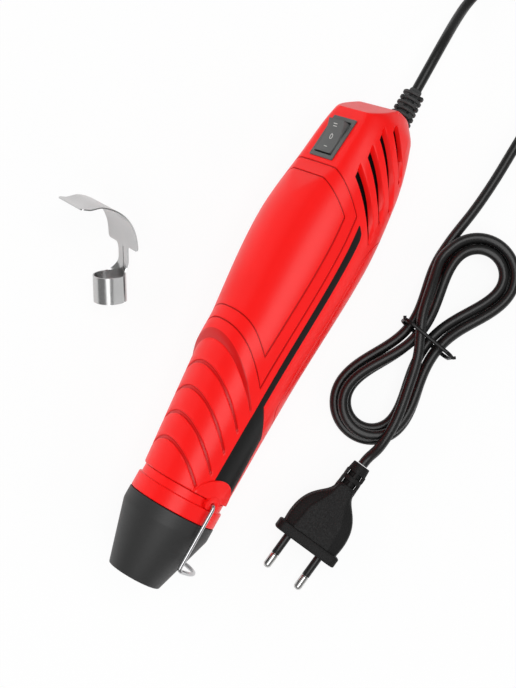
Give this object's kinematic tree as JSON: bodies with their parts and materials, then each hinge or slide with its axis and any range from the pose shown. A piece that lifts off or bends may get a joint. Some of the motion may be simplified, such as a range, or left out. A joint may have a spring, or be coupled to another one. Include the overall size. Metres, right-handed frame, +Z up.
{
  "type": "hot air tool",
  "caption": "Pen-style hot air tool on its side: red clamshell body with slanted vents, charcoal nose cone, wire stand and rocker switch, with tied mains lead, plug and clip-on reflector",
  "frame": {"origin": "the flat on the belly of the tool where it rests on the table", "axes": "+X from the nozzle to the tail along the tool, +Z up from the table, the switch face turned up and towards +Y"},
  "size_m": [0.3534, 0.2139, 0.0567],
  "materials": {
    "red_plastic": "satin moulded red plastic",
    "charcoal_plastic": "matt charcoal heat-proof plastic",
    "label_film": "black printed film",
    "switch_plastic": "dark grey moulded plastic",
    "cord_rubber": "smooth black cable sheath",
    "tie_plastic": "black coated tie",
    "plug_rubber": "grained black moulding",
    "pin_metal": "nickel-plated",
    "outlet_steel": "drawn stainless tube",
    "wire_steel": "bright zinc-plated wire",
    "sheet_steel": "bright bent sheet",
    "machine_steel": "zinc-plated steel",
    "mica": "pressed mica sheet",
    "heater_alloy": "resistance wire",
    "ceramic": "unglazed ceramic",
    "lead_sleeving": "woven glass sleeving",
    "nylon": "natural nylon",
    "fan_plastic": "moulded plastic",
    "copper_winding": "lacquered copper windings on a laminated core",
    "brass": "stamped brass",
    "circuit_board": "glass-filled board",
    "diode_resin": "moulded resin",
    "live_insulation": "brown insulation",
    "neutral_insulation": "blue insulation"
  },
  "bodies": {
    "tool": {"upper_shell": "red_plastic", "lower_shell": "red_plastic", "collar_ring": "red_plastic", "nose_cone": "charcoal_plastic", "label": "label_film", "switch_body": "switch_plastic", "strain_relief": "cord_rubber", "cord_inner": "cord_rubber", "cord_lead": "cord_rubber", "cord_hank": "cord_rubber", "cord_tail": "cord_rubber", "cable_tie": "tie_plastic", "plug_body": "plug_rubber", "pin_sleeve_1": "plug_rubber", "pin_sleeve_2": "plug_rubber", "plug_pin_1": "pin_metal", "plug_pin_2": "pin_metal", "outlet_tube": "outlet_steel", "motor_can": "machine_steel", "shell_screw_1": "machine_steel", "shell_screw_2": "machine_steel", "shell_screw_3": "machine_steel", "shell_screw_4": "machine_steel", "clamp_screw_1": "machine_steel", "clamp_screw_2": "machine_steel", "mica_sleeve": "mica", "heater_frame": "mica", "heating_coil": "heater_alloy", "heater_terminal_block": "ceramic", "thermal_cutout": "ceramic", "heater_lead_1": "lead_sleeving", "heater_lead_2": "lead_sleeving", "air_guide": "nylon", "motor_end_cap": "nylon", "cord_clamp": "nylon", "motor_tab_1": "brass", "motor_tab_2": "brass", "switch_terminal_1": "brass", "switch_terminal_2": "brass", "switch_terminal_3": "brass", "rectifier_board": "circuit_board", "diode_1": "diode_resin", "diode_2": "diode_resin", "diode_3": "diode_resin", "diode_4": "diode_resin", "wire_live": "live_insulation", "wire_neutral": "neutral_insulation"},
    "rotor": {"fan_impeller": "fan_plastic", "motor_shaft": "machine_steel", "armature": "copper_winding"},
    "rocker": {"rocker_button": "switch_plastic"},
    "stand": {"stand_wire": "wire_steel"},
    "reflector": {"reflector": "sheet_steel"}
  },
  "joints": [
    {"name": "fan_spin", "type": "hinge", "parent": "tool", "child": "rotor", "pos_m": [-0.045, -0.00346, 0.02479], "axis": [1, 0, 0], "continuous": true},
    {"name": "switch_rock", "type": "hinge", "parent": "tool", "child": "rocker", "pos_m": [0.0457, 0.01453, 0.04278], "axis": [0, 0.7071, -0.7071], "range_deg": [0, 22]},
    {"name": "stand_swing", "type": "hinge", "parent": "tool", "child": "stand", "pos_m": [-0.12806, -0.00346, 0.02479], "axis": [0, -0.7071, 0.7071], "range_deg": [0, 100]},
    {"name": "reflector_lift", "type": "slide", "parent": "tool", "child": "reflector", "axis": [0, 0, 1], "range_m": [0, 0.08]}
  ]
}
